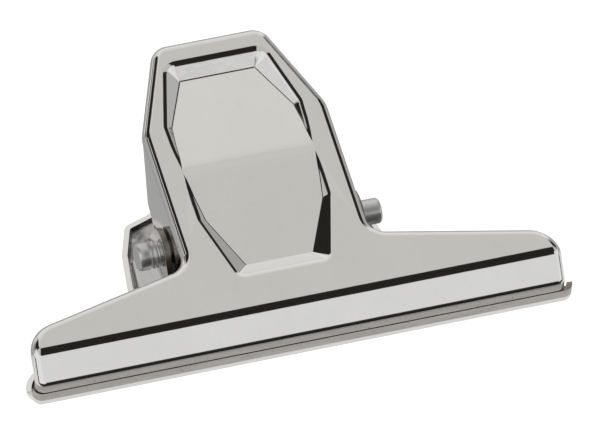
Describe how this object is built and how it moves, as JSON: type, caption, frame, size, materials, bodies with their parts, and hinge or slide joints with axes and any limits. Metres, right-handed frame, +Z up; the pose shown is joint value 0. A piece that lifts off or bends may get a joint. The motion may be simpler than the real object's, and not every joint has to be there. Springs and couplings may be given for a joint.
{
  "type": "bulldog clip",
  "caption": "Sprung steel letter clip: two pressed plates hinged on a pin, closed at the lips by a torsion spring and opened by squeezing the handles.",
  "frame": {"origin": "centre of the bounding box, on the surface the rear plate lies on", "axes": "+X along the lips and the hinge pin, +Y from the lips to the handle tips along the rear plate, +Z up from the rear plate to the front plate"},
  "size_m": [0.0964, 0.06, 0.0271],
  "materials": {
    "plated_sheet": "polished",
    "pin_steel": "satin",
    "spring_steel": "satin"
  },
  "bodies": {
    "rear_half": {"rear_plate": "plated_sheet", "hinge_pin": "pin_steel", "torsion_spring": "spring_steel"},
    "front_half": {"front_plate": "plated_sheet"}
  },
  "joints": [
    {"name": "jaw_hinge", "type": "hinge", "parent": "rear_half", "child": "front_half", "pos_m": [0, -0.00541, 0.00917], "axis": [-1, 0, 0], "range_deg": [0, 36], "stiffness_Nm_per_rad": 0.2, "springref_deg": -68.75, "deforming": ["torsion_spring"]}
  ]
}
